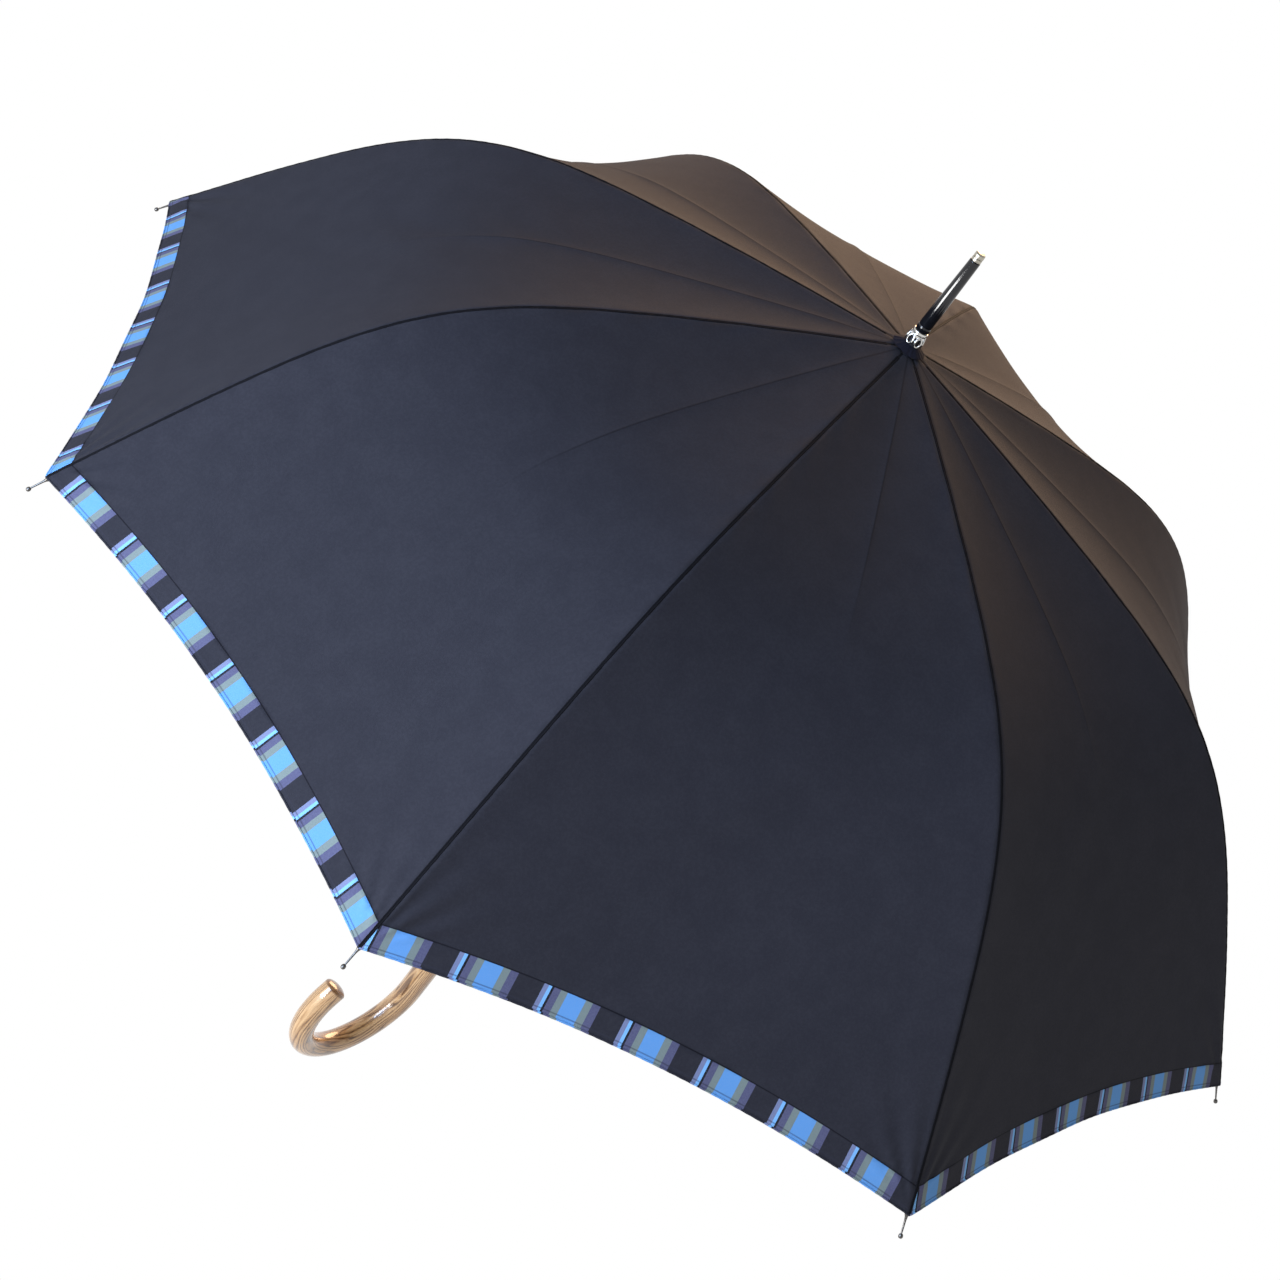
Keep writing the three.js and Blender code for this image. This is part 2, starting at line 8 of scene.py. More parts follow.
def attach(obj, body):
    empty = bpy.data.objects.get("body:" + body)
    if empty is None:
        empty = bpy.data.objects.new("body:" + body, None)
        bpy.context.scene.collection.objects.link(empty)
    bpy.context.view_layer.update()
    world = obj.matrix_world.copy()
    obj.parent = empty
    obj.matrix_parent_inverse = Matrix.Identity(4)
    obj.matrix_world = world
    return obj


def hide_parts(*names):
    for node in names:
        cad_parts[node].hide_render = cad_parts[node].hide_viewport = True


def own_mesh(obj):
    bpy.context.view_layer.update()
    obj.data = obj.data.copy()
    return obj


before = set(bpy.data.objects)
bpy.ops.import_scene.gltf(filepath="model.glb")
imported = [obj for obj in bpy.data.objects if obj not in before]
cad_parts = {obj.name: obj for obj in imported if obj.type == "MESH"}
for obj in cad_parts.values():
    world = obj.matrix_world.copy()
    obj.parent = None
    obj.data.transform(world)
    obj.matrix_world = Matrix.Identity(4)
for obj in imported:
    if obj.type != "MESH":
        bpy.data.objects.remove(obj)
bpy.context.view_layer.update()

# ---------------------------------------------------------------- sizes, in metres, as in the CAD
RIBS = 8
STEP = 2 * math.pi / RIBS
HALF = STEP / 2
NOTCH_Z = 0.846
RIB_LENGTH = 0.6548
FLEX_AT = 0.45  # share of the rib's length where its flex joint is
HANDLE_RADIUS = 0.01075
CROOK_RADIUS = 0.0605
CROOK_CENTRE_Z = CROOK_RADIUS + HANDLE_RADIUS

# ---------------------------------------------------------------- rib centreline
RIB_START_RADIUS = 0.009
RIB_START_SLOPE = 0.1676  # radians below level
# The rib bends evenly, with a bell of more bend round one place. Bends are in radians per metre
EVEN_BEND = 0.2713
BELL_BEND = 3.4976
BELL_AT = 0.5559
BELL_WIDTH = 0.1506


def integrate_rib(steps=400):
    """Share of the length, radius, height and slope at each station of a rib."""
    r, z, slope = [RIB_START_RADIUS], [NOTCH_Z], [RIB_START_SLOPE]
    length = RIB_LENGTH / steps
    for i in range(1, steps + 1):
        along = ((i - 0.5) / steps - BELL_AT) / BELL_WIDTH
        bend = (EVEN_BEND + BELL_BEND * math.exp(-along * along)) * length
        middle = slope[-1] + bend / 2
        r.append(r[-1] + length * math.cos(middle))
        z.append(z[-1] - length * math.sin(middle))
        slope.append(slope[-1] + bend)
    return np.linspace(0, 1, steps + 1), np.array(r), np.array(z), np.array(slope)


CURVE = integrate_rib()


def rib_at(share):
    """Radius, height and slope of a rib at a share of its length."""
    s, r, z, slope = CURVE
    return np.interp(share, s, r), np.interp(share, s, z), np.interp(share, s, slope)


def normal_from(slope):
    """Outward direction square to a rib in the plane of azimuth 0."""
    return np.stack([np.sin(slope), 0 * slope, np.cos(slope)], -1)


def tangent_from(normal):
    """Direction along a rib, towards its tip, for its outward normal."""
    return np.array([normal[2], 0, -normal[0]])


def rib_point(share, up):
    """Point at a height above a rib in the plane of azimuth 0, and the outward normal there."""
    r, z, slope = rib_at(share)
    normal = normal_from(slope)
    return np.stack([r, 0 * r, z], -1) + normal * np.asarray(up)[..., None], normal


def turn(points, angle):
    """Points turned about the Z axis."""
    c, s = math.cos(angle), math.sin(angle)
    x, y, z = points[..., 0], points[..., 1], points[..., 2]
    return np.stack([c * x - s * y, s * x + c * y, z], -1)


def rib_angle(k):
    return HALF + (k - 1) * STEP


def gore_angle(gore):
    return rib_angle(gore) + HALF


# ---------------------------------------------------------------- canopy surface
# A place on a gore is a share, 0 at the notch end of the ribs and 1 at their tips, and a place across,
# -1 at the rib of the same number, 0 at the pressed crease in the middle and 1 at the next rib.
# The small forms below have their heights and reaches in metres.
CANOPY_LIFT = 0.0031  # of the cloth above the centreline of its ribs
CLOTH_START = 0.0042  # share where the cloth starts at the apex
MEMBRANE_SAG = 0.009
RIM_SAG = 0.0045
RIM_SCALLOP = 0.0162
BACK_SAG = {4: 0.002, 5: -0.003, 6: 0.002}  # added to the sag of the far gores
CREASE_END = {1: 0.44, 2: 0.52}  # share where the pressed crease of a gore fades out
USUAL_CREASE_END = 0.60
TRIM_WIDTH = 0.020
STRIPE_PERIOD = 0.060
STRIPE_SHIFT = {7: 0.5, 8: 0.28}  # in periods
SIDE_PHASE = 0.7  # makes the small forms of the two halves of a gore differ


def smooth(x, lo, hi):
    """0 up to lo and 1 from hi, with a soft step between them."""
    t = np.clip((x - lo) / (hi - lo), 0, 1)
    return t * t * (3 - 2 * t)


def gap_to_rim(share, across):
    """Distance from the scalloped rim, along the ribs."""
    return (1 - RIM_SCALLOP / RIB_LENGTH * (1 - across ** 2) - share) * RIB_LENGTH


def pressed_crease(share, from_middle, gore):
    """Ridge along the middle of a gore, which fades out on its way to the rim."""
    height, reach = 0.0011, 0.006
    end = CREASE_END.get(gore, USUAL_CREASE_END)
    fade = smooth(share, 0.02, 0.10) * (1 - smooth(share, end - 0.16, end + 0.10))
    return height * np.exp(-from_middle / reach) * fade


def seam_groove(from_rib):
    """Dip of the cloth at its seam."""
    depth, reach = 0.0009, 0.0022
    return -depth * np.exp(-(from_rib / reach) ** 2)


def corner_wrinkles(share, from_rib, rim_gap, side, gore):
    """Wrinkles that fan out from the rib tip."""
    height, reach_across, reach_along = 0.0009, 0.05, 0.09
    to_tip = (1 - share) * RIB_LENGTH
    fan = np.arctan2(from_rib, np.maximum(to_tip + 0.004, 1e-4))
    near = np.exp(-((from_rib / reach_across) ** 2 + (to_tip / reach_along) ** 2))
    near = near * smooth(from_rib, 0, 0.006) * smooth(rim_gap, 0.006, 0.030)
    return height * np.sin(fan * 17 + gore * 1.7 + side * 3) * near


def seam_pucker(share, from_rib, side, gore):
    """Small gathers that the stitches pull beside the seam."""
    height, pitch, reach = 0.00022, 0.0105, 0.007
    gathers = np.sin(share * RIB_LENGTH / pitch * 2 * math.pi + gore + side) * np.exp(-from_rib / reach)
    return height * gathers * smooth(from_rib, 0, 0.002) * smooth(share, 0.05, 0.2)


def billow(share, across, gore):
    """Broad, uneven swell of the cloth between its ribs."""
    height = 0.0010
    swell = np.sin(across * 3.1 + gore * 2.1) * np.cos(share * 9 + gore * 1.3)
    swell = swell + 0.5 * np.sin(across * 6.3 + share * 13 + gore * 0.7)
    return height * (1 - across ** 2) * smooth(share, 0.25, 0.8) * swell


def slack_folds(share, across, gore):
    """Shallow folds across the gore, round the middle of its length."""
    height, middle, reach = 0.00035, 0.62, 0.16
    folds = np.sin(share * 46 + across * 5 + gore * 2.3 + 1.5 * np.sin(across * 7 + gore))
    return height * folds * np.exp(-((share - middle) / reach) ** 2) * (1 - across ** 2) ** 2


def trim_step(rim_gap):
    """Second layer of cloth in the striped trim."""
    thickness, edge = 0.0004, 0.0006
    return thickness * (1 - smooth(rim_gap, TRIM_WIDTH - edge, TRIM_WIDTH + edge))


def rim_wave(rim_gap, across, gore):
    """Slow wave of the free edge."""
    height, reach = 0.0009, 0.03
    return height * np.sin(across * 9 + gore * 1.9) * np.exp(-rim_gap / reach) * (1 - across ** 2)


def cloth_relief(share, across, gore):
    """Height of the small forms of one gore above its plain membrane."""
    half_width = np.maximum(rib_at(share)[0] * math.sin(HALF), 1e-4)
    from_rib = (1 - np.abs(across)) * half_width
    from_middle = np.abs(across) * half_width
    rim_gap = gap_to_rim(share, across)
    side = np.where(across > 0, SIDE_PHASE, 0.0)
    return (
        pressed_crease(share, from_middle, gore)
        + seam_groove(from_rib)
        + corner_wrinkles(share, from_rib, rim_gap, side, gore)
        + seam_pucker(share, from_rib, side, gore)
        + billow(share, across, gore)
        + slack_folds(share, across, gore)
        + trim_step(rim_gap)
        + rim_wave(rim_gap, across, gore)
    )


def membrane_sag(share, across, extra=0.0):
    """Depth of the stretched cloth below the line between its two ribs."""
    return ((MEMBRANE_SAG + extra) * np.sin(math.pi * share) + RIM_SAG * share) * (1 - across ** 2)


def on_gore(share, across, lift):
    """Points at a height above a gore whose middle is at azimuth 0."""
    r, z, slope = rib_at(share)
    reach = r + lift * np.sin(slope)
    return np.stack([reach * math.cos(HALF), across * reach * math.sin(HALF), z + lift * np.cos(slope)], -1)


def gore_surface(row, across, gore):
    """Points and shares of a gore whose middle is at azimuth 0. Row 0 is at the apex and row 1 at the rim."""
    scallop = RIM_SCALLOP / RIB_LENGTH * (1 - across ** 2)
    share = CLOTH_START + row * (1 - CLOTH_START) * (1 - scallop * row)
    sag = membrane_sag(share, across, BACK_SAG.get(gore, 0))
    return on_gore(share, across, CANOPY_LIFT - sag + cloth_relief(share, across, gore)), share


FLEX_POINT, FLEX_NORMAL = rib_point(np.array(FLEX_AT), np.array(0.0))
FLEX_TANGENT = tangent_from(FLEX_NORMAL)


def flex_row(across, gore):
    """Row of each column where the cloth crosses the plane square to the rib at its flex joint."""
    rows = np.linspace(0.3, 0.7, 161)
    grid_rows, grid_across = np.meshgrid(rows, across, indexing="ij")
    points, _ = gore_surface(grid_rows, grid_across, gore)
    side = np.where(grid_across > 0, -HALF, HALF)
    x = points[..., 0] * np.cos(side) - points[..., 1] * np.sin(side)
    along = (x - FLEX_POINT[0]) * FLEX_TANGENT[0] + (points[..., 2] - FLEX_POINT[2]) * FLEX_TANGENT[2]
    return np.array([np.interp(0.0, column, rows) for column in along.T])


# ---------------------------------------------------------------- meshes
def new_object(name, points, faces, uvs=None, normals=None):
    """Smooth shaded object; UV layers and normals are given by vertex."""
    mesh = bpy.data.meshes.new(name)
    mesh.from_pydata([tuple(p) for p in points], [], [tuple(int(i) for i in f) for f in faces])
    for layer_name, values in (uvs or {}).items():
        layer = mesh.uv_layers.new(name=layer_name)
        loops = np.zeros(len(mesh.loops), np.int32)
        mesh.loops.foreach_get("vertex_index", loops)
        layer.data.foreach_set("uv", np.asarray(values, np.float32)[loops].ravel())
    mesh.polygons.foreach_set("use_smooth", [True] * len(mesh.polygons))
    if normals is not None:
        mesh.normals_split_custom_set_from_vertices([tuple(n) for n in normals])
    mesh.update()
    obj = bpy.data.objects.new(name, mesh)
    bpy.context.scene.collection.objects.link(obj)
    return obj


def grid_faces(rows, columns, flip=False, closed=False):
    """Quads of a grid of vertices, row by row; a closed grid joins its last column to its first."""
    i, j = np.meshgrid(np.arange(rows - 1), np.arange(columns if closed else columns - 1), indexing="ij")
    k = (j + 1) % columns
    a, b = i * columns + j, i * columns + k
    quads = np.stack([a, b, b + columns, a + columns], -1).reshape(-1, 4)
    return quads[:, ::-1] if flip else quads


def uv_layers(**pairs):
    """UV layers by name, each made from its two coordinates."""
    return {name: np.stack(np.broadcast_arrays(*pair), -1).reshape(-1, 2) for name, pair in pairs.items()}


def stripe_phase(width, gore):
    """Place in the stripe pattern, in periods, at a distance from the middle of the gore."""
    return width / STRIPE_PERIOD - STRIPE_SHIFT.get(gore, 0)


def half_letter(side):
    return "a" if side < 0 else "b"


# ---------------------------------------------------------------- half gores
INNER_ROWS = 34
OUTER_ROWS = 62
COLUMNS = 37
CROWDING = 0.72  # how much closer the columns lie at the crease and at the rib
EVEN = np.linspace(0, 1, COLUMNS)
SPREAD = EVEN - CROWDING * np.sin(2 * math.pi * EVEN) / (2 * math.pi)
# The outer half gores reach under the inner ones, so that no gap opens when the flex joint bends
UNDERLAP = 0.020  # in rows from 0 to 1
UNDERLAP_DROP = 0.0007
UNDERLAP_STEPS = np.array([1.0, 0.66, 0.33, 0.05, 0.0001])[:, None]


def gore_rows(flex, band):
    """Rows of a band of a half gore, which is cut from the other band at row `flex` of each column."""
    if band == "inner":
        return flex * np.linspace(0, 1, INNER_ROWS)[:, None]
    to_rim = (1 - (1 - np.linspace(0, 1, OUTER_ROWS)) ** 1.5)[:, None]
    return np.concatenate([flex - UNDERLAP * UNDERLAP_STEPS, flex + (1 - flex) * to_rim])


def gore_normals(rows, across, gore, side):
    """Normals of the whole surface, so that the parts of a gore shade as one cloth."""
    nudge = 2e-4
    lowest, highest = (-1, 0) if side < 0 else (0, 1)
    left, right = (np.clip(across + d, lowest, highest) for d in (-nudge, nudge))
    above, below = (np.clip(rows + d, 0, 1) for d in (-nudge, nudge))
    sideways = gore_surface(rows, right, gore)[0] - gore_surface(rows, left, gore)[0]
    down = gore_surface(below, across, gore)[0] - gore_surface(above, across, gore)[0]
    normals = np.cross(down, sideways)
    return normals / np.linalg.norm(normals, axis=-1, keepdims=True)


def half_gore(gore, side, band):
    """Half of a gore on one side of its crease. Side -1 hangs from rib `gore`, side 1 from the next rib."""
    across = side * (1 - SPREAD)
    flex = flex_row(np.where(across == 0, side * 1e-9, across), gore)
    rows = gore_rows(flex[None, :], band)
    across = np.broadcast_to(across, rows.shape)
    points, share = gore_surface(rows, across, gore)
    if band == "outer":
        points[:len(UNDERLAP_STEPS), :, 2] -= UNDERLAP_DROP
    half_width = rib_at(share)[0] * math.sin(HALF)
    rim_gap = gap_to_rim(share, across)
    uvs = uv_layers(
        Stripes=(stripe_phase(half_width * across, gore), rim_gap / TRIM_WIDTH),
        Place=(share - CREASE_END.get(gore, USUAL_CREASE_END), np.abs(half_width * across)),
        Edge=(half_width * (1 - np.abs(across)), rim_gap),
    )
    points = turn(points, gore_angle(gore)).reshape(-1, 3)
    normals = turn(gore_normals(rows, across, gore, side), gore_angle(gore)).reshape(-1, 3)
    name = f"canopy_{gore}_{half_letter(side)}_{band}"
    return new_object(name, points, grid_faces(*rows.shape, flip=side < 0), uvs, normals)


# How a band of cloth folds against its rib as the umbrella closes: the tilts of the flattening direction,
# outwards and along the rib, the share of width kept, the offset of the anchor, and the part of the rib
# that the directions are taken from
CLOTH_OVER_RIB = 0.0034
FOLDS = {
    "inner": {
        "tilt": 0.4105, "along": -0.0057, "keep": 0.083, "offset": -0.0005, "from": 0.02, "to": FLEX_AT,
    },
    "outer": {
        "tilt": 0.4006, "along": 0.0464, "keep": 0.105, "offset": -0.0035, "from": FLEX_AT, "to": 1.0,
    },
}


def fold(obj, k, side, band):
    """Gives a piece of cloth its own mesh; the axis and anchor that would flatten it towards rib k are worked
    out but not used. Side 1 lies anticlockwise of the rib.
    """
    f = FOLDS[band]
    ends, _ = rib_point(np.array([f["from"], f["to"]]), np.full(2, CLOTH_OVER_RIB))
    chord = ends[1] - ends[0]
    chord /= np.linalg.norm(chord)
    outward = np.array([-chord[2], 0, chord[0]])
    sideways = np.array([0, side, 0])
    axis = (
        math.cos(f["tilt"]) * math.cos(f["along"]) * sideways
        - math.sin(f["tilt"]) * math.cos(f["along"]) * outward
        + math.sin(f["along"]) * chord
    )
    base, _ = rib_point(np.array(FLEX_AT), np.array(CLOTH_OVER_RIB))
    anchor = base + axis * f["offset"]
    axis, anchor = (tuple(turn(vector, rib_angle(k))) for vector in (axis, anchor))
    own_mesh(obj)


def body_name(k, band):
    return f"rib_{band}_body_{k}"


# ---------------------------------------------------------------- materials
def material(name, base, roughness, metallic=0.0, **settings):
    """Principled material; settings are further shader inputs, with _ for each space in their names."""
    m = bpy.data.materials.new(name)
    m.use_nodes = True
    shader = m.node_tree.nodes["Principled BSDF"]
    shader.inputs["Base Color"].default_value = (*base, 1)
    shader.inputs["Roughness"].default_value = roughness
    shader.inputs["Metallic"].default_value = metallic
    for key, value in settings.items():
        shader.inputs[key.replace("_", " ")].default_value = value
    return m, m.node_tree, shader


def opaque(colour):
    """Full alpha added to a colour; a socket stays as it is."""
    return (*colour, 1) if isinstance(colour, tuple) else colour


class Graph:
    """Adds nodes to a node tree. Values are numbers, colours or sockets."""

    def __init__(self, tree):
        self.tree = tree

    def node(self, kind, **values):
        n = self.tree.nodes.new(kind)
        for key, value in values.items():
            setattr(n, key, value)
        return n

    def put(self, value, socket):
        if isinstance(value, bpy.types.NodeSocket):
            self.tree.links.new(value, socket)
        else:
            socket.default_value = value

    def uv(self, layer):
        """The two coordinates of a UV layer."""
        parts = self.node("ShaderNodeSeparateXYZ")
        self.put(self.node("ShaderNodeUVMap", uv_map=layer).outputs[0], parts.inputs[0])
        return parts.outputs[0], parts.outputs[1]

    def math(self, operation, a, b=None):
        n = self.node("ShaderNodeMath", operation=operation)
        self.put(a, n.inputs[0])
        if b is not None:
            self.put(b, n.inputs[1])
        return n.outputs[0]

    def vector_math(self, operation, a, b):
        n = self.node("ShaderNodeVectorMath", operation=operation)
        self.put(a, n.inputs[0])
        self.put(b, n.inputs[1])
        return n.outputs[0]

    def ramp(self, value, stops, interpolation="LINEAR"):
        n = self.node("ShaderNodeValToRGB")
        n.color_ramp.interpolation = interpolation
        elements = n.color_ramp.elements
        while len(elements) > 1:
            elements.remove(elements[-1])
        elements[0].position = stops[0][0]
        elements[0].color = opaque(stops[0][1])
        for position, colour in stops[1:]:
            elements.new(position).color = opaque(colour)
        self.put(value, n.inputs[0])
        return n.outputs[0]

    def mix(self, factor, a, b):
        n = self.node("ShaderNodeMix", data_type="RGBA")
        self.put(factor, n.inputs[0])
        self.put(opaque(a), n.inputs[6])
        self.put(opaque(b), n.inputs[7])
        return n.outputs[2]

    def range(self, value, lo, hi, to_lo=0.0, to_hi=1.0):
        n = self.node("ShaderNodeMapRange", interpolation_type="SMOOTHSTEP")
        for i, v in enumerate((value, lo, hi, to_lo, to_hi)):
            self.put(v, n.inputs[i])
        return n.outputs[0]

    def line(self, value, place, inner, outer, strength):
        """Soft line where a value is near a place."""
        away = self.math("ABSOLUTE", self.math("SUBTRACT", value, place))
        return self.range(away, inner, outer, strength, 0.0)

    def noise(self, scale, detail=3.0, vector=None, roughness=0.5, stretch=None):
        """Noise in object coordinates, or along a vector of its own."""
        if vector is None:
            vector = self.node("ShaderNodeTexCoord").outputs["Object"]
        if stretch is not None:
            mapping = self.node("ShaderNodeMapping")
            mapping.inputs["Scale"].default_value = stretch
            self.put(vector, mapping.inputs[0])
            vector = mapping.outputs[0]
        n = self.node("ShaderNodeTexNoise")
        self.put(vector, n.inputs["Vector"])
        n.inputs["Scale"].default_value = scale
        n.inputs["Detail"].default_value = detail
        n.inputs["Roughness"].default_value = roughness
        return n.outputs[0]

    def bump(self, height, shader, strength, distance):
        n = self.node("ShaderNodeBump")
        n.inputs["Strength"].default_value = strength
        n.inputs["Distance"].default_value = distance
        self.put(height, n.inputs["Height"])
        self.put(n.outputs[0], shader.inputs["Normal"])


BLACK_CLOTH = (0.0165, 0.0165, 0.0225)
CLOUD_DARK = (0.0146, 0.0146, 0.0206)
CLOUD_LIGHT = (0.0172, 0.0172, 0.0236)
FLECK = (0.0255, 0.0255, 0.0320)
GRAIN_DARK = (0.0092, 0.0092, 0.0135)
GRAIN_LIGHT = (0.0260, 0.0260, 0.0340)
# Painted shade along the pressed crease
CREASE_SHADE = (0.004, 0.004, 0.006)
# Painted shade along the seams
SEAM_SHADE = (0.0012, 0.0012, 0.0018)
TRIM_EDGE_BLACK = (0.005, 0.005, 0.008)
HEM_LINE_BLACK = (0.02, 0.02, 0.03)
TRIM_FLECK = (0.24, 0.27, 0.34)
LILAC = (0.125, 0.145, 0.25)
PALE_BLUE = (0.14, 0.32, 0.58)
LINE_BLACK = (0.004, 0.004, 0.007)
MAUVE = (0.060, 0.060, 0.115)
OLIVE = (0.125, 0.155, 0.150)
BLUE = (0.080, 0.215, 0.455)
NAVY = (0.0175, 0.0180, 0.0290)
# Where each stripe starts, in periods. The black cloth shows from the last one on
STRIPES = [
    (0.000, LILAC), (0.052, PALE_BLUE), (0.092, LINE_BLACK), (0.120, MAUVE), (0.200, OLIVE),
    (0.285, BLUE), (0.505, OLIVE), (0.590, MAUVE), (0.690, NAVY),
]
STRIPE_START = 0.5  # place in the pattern at the middle of a gore, before its own shift
THREAD_PITCH = 0.0008


def weave(g, around, from_rim):
    """Fine crossed threads from the cloth's own coordinates."""
    warp = g.math("SINE", g.math("MULTIPLY", around, STRIPE_PERIOD / THREAD_PITCH * 2 * math.pi))
    weft = g.math("SINE", g.math("MULTIPLY", from_rim, TRIM_WIDTH / THREAD_PITCH * 2 * math.pi))
    return g.math("MULTIPLY", warp, weft)


def black_ground(g, mottle):
    """Black cloth with faint clouds and threads, with painted shade along its pressed crease."""
    grain = g.noise(420, 3, roughness=0.65)
    cloud = g.noise(45, 5, roughness=0.6)
    black = g.mix(g.range(cloud, 0.35, 0.65), CLOUD_DARK, CLOUD_LIGHT)
    black = g.mix(g.range(mottle, 0.3, 0.7, 0.0, 0.35), black, FLECK)
    black = g.mix(g.range(grain, 0.42, 0.62, 0.0, 0.30), black, GRAIN_DARK)
    black = g.mix(g.range(grain, 0.56, 0.74, 0.0, 0.35), black, GRAIN_LIGHT)
    # Painted shade: a darker line along the pressed crease, fading out towards the crease's end
    past_crease_end, from_middle = g.uv("Place")
    crease = g.range(from_middle, 0.0003, 0.0011, 1.0, 0.0)
    crease = g.math("MULTIPLY", crease, g.range(past_crease_end, -0.16, 0.04, 0.55, 0.0))
    return g.mix(crease, black, CREASE_SHADE)


def canopy_material():
    """Black cloth with a striped trim, from the UV layers of the half gores and the hem."""
    m, tree, shader = material("canopy_cloth", BLACK_CLOTH, 0.85, Specular_IOR_Level=0.12)
    g = Graph(tree)
    around, from_rim = g.uv("Stripes")
    mottle = g.noise(900, 2)
    black = black_ground(g, mottle)
    period = g.math("FRACT", g.math("ADD", around, STRIPE_START))
    trim = g.ramp(period, STRIPES, "CONSTANT")
    trim = g.mix(g.range(mottle, 0.3, 0.7, 0.0, 0.07), trim, TRIM_FLECK)
    trim = g.mix(g.math("GREATER_THAN", period, STRIPES[-1][0]), trim, black)
    trim = g.mix(g.line(from_rim, 0.17, 0.015, 0.035, 0.5), trim, HEM_LINE_BLACK)
    colour = g.mix(g.math("LESS_THAN", from_rim, 1.0), black, trim)
    colour = g.mix(g.line(from_rim, 1.01, 0.01, 0.035, 1.0), colour, TRIM_EDGE_BLACK)
    # Painted shade: a darker line along each seam, where the cloth dips
    from_seam, _ = g.uv("Edge")
    colour = g.mix(g.range(from_seam, 0.0007, 0.0014, 0.92, 0.0), colour, SEAM_SHADE)
    g.put(colour, shader.inputs["Base Color"])
    g.put(g.range(mottle, 0.2, 0.8, 0.78, 0.92), shader.inputs["Roughness"])
    height = g.math("ADD", g.math("MULTIPLY", weave(g, around, from_rim), 0.5), mottle)
    g.bump(height, shader, 0.25, 0.00025)
    return m


def plain_cloth(name, base):
    m, tree, shader = material(name, base, 0.85, Specular_IOR_Level=0.08)
    g = Graph(tree)
    grain = g.noise(1100, 2)
    lighter = tuple(c * 1.7 for c in base)
    g.put(g.mix(g.range(grain, 0.35, 0.7, 0.0, 0.6), base, lighter), shader.inputs["Base Color"])
    g.bump(grain, shader, 0.5, 0.0003)
    return m


def metal(name, base, roughness, warm=None):
    """Metal with a slight haze and fine scratches along Z; warm is the second colour of the haze."""
    m, tree, shader = material(name, base, roughness, metallic=1.0)
    g = Graph(tree)
    haze = g.noise(140, 4)
    scratch = g.noise(400, 2, stretch=(1, 1, 0.06))
    g.put(g.range(haze, 0.3, 0.75, roughness * 0.7, roughness * 1.6), shader.inputs["Roughness"])
    other = warm or tuple(c * 0.72 for c in base)
    g.put(g.mix(g.range(haze, 0.5, 0.8, 0.0, 0.7), base, other), shader.inputs["Base Color"])
    g.bump(scratch, shader, 0.12, 0.0001)
    return m


def lacquer(name, base, roughness, coat=0.0):
    """Dark paint or plastic with fine lighter specks."""
    m, tree, shader = material(name, base, roughness, Coat_Weight=coat, Coat_Roughness=0.06)
    g = Graph(tree)
    speck = g.noise(220, 4)
    g.put(g.range(speck, 0.3, 0.8, roughness * 0.75, roughness * 1.5), shader.inputs["Roughness"])
    lighter = tuple(c * 1.8 + 0.003 for c in base)
    g.put(g.mix(g.range(speck, 0.55, 0.8, 0.0, 0.8), base, lighter), shader.inputs["Base Color"])
    g.bump(g.noise(1500, 2), shader, 0.08, 0.0001)
    return m


WOOD_BASE = (0.45, 0.24, 0.09)
WOOD_TONES = [
    (0.25, (0.210, 0.098, 0.036)), (0.45, (0.350, 0.180, 0.068)),
    (0.60, (0.460, 0.265, 0.115)), (0.80, (0.270, 0.135, 0.052)),
]
WOOD_FIBRE = (0.135, 0.058, 0.020)
WOOD_LINE = (0.070, 0.028, 0.011)
WOOD_PALE = (0.60, 0.40, 0.21)
WOOD_DARK_END = (0.12, 0.048, 0.018)


def wood_material(name, dark_end=False):
    """Varnished wood; its grain runs along the crook, as if the handle were straight."""
    m, tree, shader = material(
        name, WOOD_BASE, 0.32, Coat_Weight=0.9, Coat_Roughness=0.07, Specular_IOR_Level=0.45,
    )
    g = Graph(tree)
    x, y = g.uv("GrainAcross")
    along, _ = g.uv("GrainAlong")
    joined = g.node("ShaderNodeCombineXYZ")
    for value, socket in zip((x, y, along), joined.inputs):
        g.put(value, socket)
    straight = joined.outputs[0]
    warp = g.node("ShaderNodeTexNoise")
    g.put(straight, warp.inputs["Vector"])
    warp.inputs["Scale"].default_value = 22
    shift = g.vector_math("MULTIPLY", warp.outputs["Color"], (0.012, 0.012, 0))
    bent = g.vector_math("ADD", straight, shift)
    fibre = g.noise(1.0, 5, vector=bent, stretch=(900, 900, 13), roughness=0.6)
    broad = g.noise(1.0, 3, vector=bent, stretch=(150, 150, 9))
    figure = g.noise(1.0, 2, vector=straight, stretch=(60, 60, 8))
    field = g.math("ADD", g.math("MULTIPLY", x, 330), g.math("MULTIPLY", y, 210))
    field = g.math("ADD", field, g.math("MULTIPLY", figure, 11.0))
    rings = g.math("SINE", g.math("MULTIPLY", field, 2 * math.pi))
    base = g.ramp(broad, WOOD_TONES)
    base = g.mix(g.range(fibre, 0.40, 0.66, 0.0, 0.55), base, WOOD_FIBRE)
    line = g.math("MULTIPLY", g.range(rings, 0.30, 0.90, 0.0, 0.88), g.range(fibre, 0.30, 0.60, 0.45, 1.0))
    base = g.mix(line, base, WOOD_LINE)
    base = g.mix(g.range(rings, -0.2, -0.9, 0.0, 0.30), base, WOOD_PALE)
    if dark_end:
        base = g.mix(0.62, base, WOOD_DARK_END)
    g.put(base, shader.inputs["Base Color"])
    g.bump(g.math("ADD", fibre, g.math("MULTIPLY", broad, 0.5)), shader, 0.12, 0.0006)
    return m


